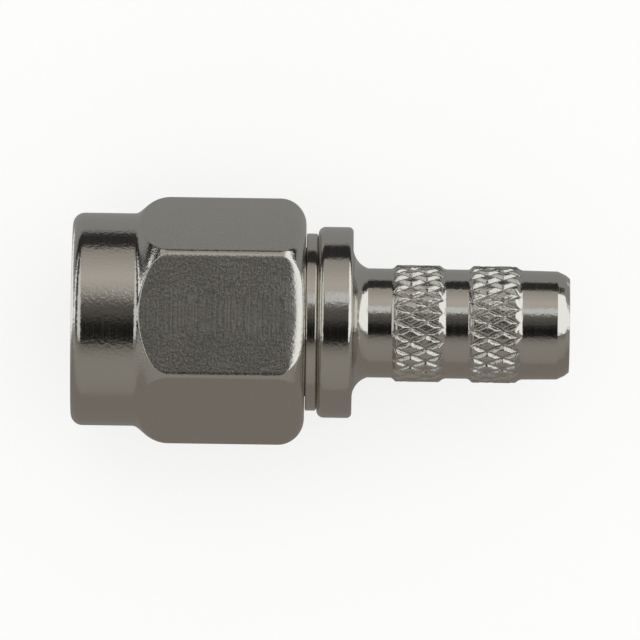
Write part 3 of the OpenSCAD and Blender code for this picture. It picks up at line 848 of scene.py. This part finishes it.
def add_sheet(name, corners, material):
    """A flat stage piece with the given corners."""
    mesh = bpy.data.meshes.new(name)
    mesh.from_pydata([tuple(float(c) for c in corner) for corner in corners], [], [tuple(range(len(corners)))])
    mesh.materials.append(material)
    sheet = bpy.data.objects.new(name, mesh)
    bpy.context.scene.collection.objects.link(sheet)
    return sheet


def add_cards():
    """Sets out the cards round the plug, each a parallelogram from one corner along two sides."""
    for name, (corner, along, across, tint, light) in CARDS.items():
        corner, along, across = (np.array(point, float) * MM for point in (corner, along, across))
        lift = np.array((0, 0, LIFT if name in RAISED else LIFT / 2))
        sheet = add_sheet(name, [corner + lift, along + lift, along + across - corner + lift, across + lift],
                          light_material(name, tint, light))
        sheet.visible_camera = sheet.visible_diffuse = sheet.visible_shadow = sheet.visible_transmission = False


def add_tent(reach):
    """Half a sphere over the floor, a little more than half: (cos u, sin u sin v, sin u cos v) times its radius."""
    u, v = np.linspace(0.02, np.pi - 0.02, 65)[:, None], np.linspace(-1.62, 1.62, 49)
    points = reach * np.stack([np.cos(u) + 0 * v, np.sin(u) * np.sin(v), np.sin(u) * np.cos(v)], -1)
    number = np.arange(points[..., 0].size).reshape(points.shape[:2])
    quads = np.stack([number[:-1, :-1], number[1:, :-1], number[1:, 1:], number[:-1, 1:]], -1).reshape(-1, 4)
    mesh = bpy.data.meshes.new("light_tent")
    mesh.from_pydata(points.reshape(-1, 3).tolist(), [], quads.tolist())
    mesh.materials.append(tent_material())
    tent = bpy.data.objects.new("light_tent", mesh)
    bpy.context.scene.collection.objects.link(tent)
    tent.visible_camera = False
    return tent


def add_world():
    """White all round to the camera, metal and glass; the tent hides it from the plug."""
    world = bpy.data.worlds.new("white_surround")
    bpy.context.scene.world = world
    world.use_nodes = True
    tree = world.node_tree
    tree.nodes.clear()
    path = add(tree, "ShaderNodeLightPath")
    clear = add(tree, "ShaderNodeMath",
                {0: (path, "Is Glossy Ray"), 1: (path, "Is Transmission Ray")}, operation="MAXIMUM")
    seen = add(tree, "ShaderNodeMath", {0: (path, "Is Camera Ray"), 1: (clear, "Value")}, operation="MAXIMUM")
    sky = add(tree, "ShaderNodeBackground", {"Color": (1.0, 1.0, 1.0, 1.0), "Strength": (seen, "Value")})
    add(tree, "ShaderNodeOutputWorld", {"Surface": (sky, "Background")})


def add_camera(studio):
    """A long lens over the plug, from its elevation on the -Y side, rolled a little about its view."""
    back = Vector((0, -math.cos(studio.elevation), math.sin(studio.elevation)))
    right, up = Vector((1, 0, 0)), Vector((0, math.sin(studio.elevation), math.cos(studio.elevation)))
    cos, sin = math.cos(studio.roll), math.sin(studio.roll)
    right, up = right * cos + up * sin, up * cos - right * sin
    middle = Vector(((CAD_BOX[0][0] + CAD_BOX[1][0]) / 2, 0, 0))
    target = middle - right * AIM[0] + up * AIM[1]
    data = bpy.data.cameras.new("camera")
    data.lens = data.sensor_width * studio.distance / studio.field
    data.clip_start, data.clip_end = 10 * MM, 5.0
    camera = bpy.data.objects.new("camera", data)
    camera.matrix_world = Matrix.Translation(target + back * studio.distance) @ Matrix(
        (right, up, back)).transposed().to_4x4()
    bpy.context.scene.collection.objects.link(camera)
    bpy.context.scene.camera = camera


# ---------------------------------------------------------------------------------------------------
# Operators
# ---------------------------------------------------------------------------------------------------


class PLUG_OT_coupling_nut(bpy.types.Operator):
    """Build the coupling nut with its thread"""

    bl_idname = "plug.coupling_nut"
    bl_label = "Coupling Nut"

    def execute(self, context):
        x, r, angle, drawn = nut_surface(context.scene.plug_nut)
        nut = add_mesh("coupling_nut_piece", *ring_grid(x, r, angle))
        add_mark(nut, "drawn", drawn)
        dress(nut, nickel("nickel_plated_nut", context.scene.plug_finish.nickel, *NUT_FINISH, "drawn"),
              "coupling", "coupling_nut")
        return {"FINISHED"}


class PLUG_OT_front_shell(bpy.types.Operator):
    """Build the front shell"""

    bl_idname = "plug.front_shell"
    bl_label = "Front Shell"

    def execute(self, context):
        section = shell_section(context.scene.plug_shell, context.scene.plug_nut)
        shell = add_mesh("front_shell_piece", *turned(section, 160))
        dress(shell, nickel("nickel_plated_shell", context.scene.plug_finish.nickel, *BODY_FINISH),
              "plug", "front_shell")
        return {"FINISHED"}


class PLUG_OT_rear_body(bpy.types.Operator):
    """Build the rear body with its two knurled bands"""

    bl_idname = "plug.rear_body"
    bl_label = "Rear Body"

    def execute(self, context):
        x, r, angle, rolled = body_surface(context.scene.plug_shell)
        body = add_mesh("rear_body_piece", *ring_grid(x, r, angle))
        add_mark(body, "rolled", rolled)
        dress(body, nickel("nickel_plated_body", context.scene.plug_finish.nickel, *BODY_FINISH, "rolled"),
              "plug", "rear_body")
        return {"FINISHED"}


class PLUG_OT_insulators(bpy.types.Operator):
    """Build the front insulator and finish the rear one"""

    bl_idname = "plug.insulators"
    bl_label = "Insulators"

    def execute(self, context):
        ptfe = turned_ptfe(context.scene.plug_finish.ptfe)
        low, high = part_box("front_insulator")
        inner = context.scene.plug_inside.contact / 2 + 0.01 * MM
        edge = 0.04 * MM
        section = rounded_loop(
            [(low.x, inner, edge), (low.x, high.z, edge), (high.x, high.z, edge), (high.x, inner, edge)])
        dress(add_mesh("front_insulator_piece", *turned(section, 128)), ptfe, "plug", "front_insulator")
        refinish("rear_insulator", ptfe)
        return {"FINISHED"}


class PLUG_OT_centre_contact(bpy.types.Operator):
    """Build the centre contact"""

    bl_idname = "plug.centre_contact"
    bl_label = "Centre Contact"

    def execute(self, context):
        section = contact_section(context.scene.plug_inside)
        contact = add_mesh("centre_contact_piece", *spindle(section, 96))
        dress(contact, gold_plating(context.scene.plug_finish.gold), "plug", "centre_contact")
        return {"FINISHED"}


class PLUG_OT_ring_and_seal(bpy.types.Operator):
    """Build the sealing ring and finish the snap ring"""

    bl_idname = "plug.ring_and_seal"
    bl_label = "Ring and Seal"

    def execute(self, context):
        finish, inside = context.scene.plug_finish, context.scene.plug_inside
        low, high = SEAL_LOW.x, SEAL_HIGH.x
        front_bore = context.scene.plug_shell.bushing / 2 + 0.01 * MM
        section = rounded_loop(
            [(low, front_bore, 0.05 * MM), (low, SEAL_HIGH.z, inside.seal_edge),
             (high, SEAL_HIGH.z, inside.seal_edge / 2), (high, front_bore - 0.1 * MM, 0.05 * MM)])
        seal = add_mesh("sealing_ring_piece", *turned(section, 128))
        dress(seal, silicone_rubber(finish.silicone), "plug", "sealing_ring")
        refinish("snap_ring", spring_bronze(finish.bronze))
        return {"FINISHED"}


class PLUG_OT_stage(bpy.types.Operator):
    """Set out the floor, the cards, the light tent, the surround and the camera"""

    bl_idname = "plug.stage"
    bl_label = "Studio"

    def execute(self, context):
        studio = context.scene.plug_studio
        half, ground = 0.7 * studio.reach, CAD_BOX[0][2]
        corners = [(x * half, y * half, ground) for x, y in ((-1, -1), (1, -1), (1, 1), (-1, 1))]
        add_sheet("floor", corners, floor_material(studio.floor))
        add_cards()
        add_tent(studio.reach)
        add_world()
        add_camera(studio)
        context.scene.view_settings.view_transform = "Standard"
        return {"FINISHED"}


class PLUG_PT_panel(bpy.types.Panel):
    """The plug's pieces, in the order in which they are built"""

    bl_idname = "PLUG_PT_panel"
    bl_label = "Coaxial Screw Plug"
    bl_space_type = "VIEW_3D"
    bl_region_type = "UI"
    bl_category = "Plug"

    def draw(self, context):
        for holder in SETTINGS:
            box = self.layout.box()
            for name in SETTINGS[holder].__annotations__:
                box.prop(getattr(context.scene, holder), name)
        for operator in OPERATORS:
            self.layout.operator(operator.bl_idname)


SETTINGS = {
    "plug_nut": NutSettings,
    "plug_shell": ShellSettings,
    "plug_inside": InsideSettings,
    "plug_finish": FinishSettings,
    "plug_studio": StudioSettings,
}
OPERATORS = (
    PLUG_OT_coupling_nut,
    PLUG_OT_front_shell,
    PLUG_OT_rear_body,
    PLUG_OT_insulators,
    PLUG_OT_centre_contact,
    PLUG_OT_ring_and_seal,
    PLUG_OT_stage,
)


def register():
    """Adds the settings, the operators and the panel."""
    for group in (*SETTINGS.values(), *OPERATORS, PLUG_PT_panel):
        bpy.utils.register_class(group)
    for holder, group in SETTINGS.items():
        setattr(bpy.types.Scene, holder, bpy.props.PointerProperty(type=group))


def unregister():
    """Takes them away again."""
    for holder in SETTINGS:
        delattr(bpy.types.Scene, holder)
    for group in (PLUG_PT_panel, *OPERATORS[::-1], *SETTINGS.values()):
        bpy.utils.unregister_class(group)


def main():
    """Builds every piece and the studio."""
    register()
    for operator in OPERATORS:
        group, name = operator.bl_idname.split(".")
        getattr(getattr(bpy.ops, group), name)()


if __name__ == "__main__":
    main()
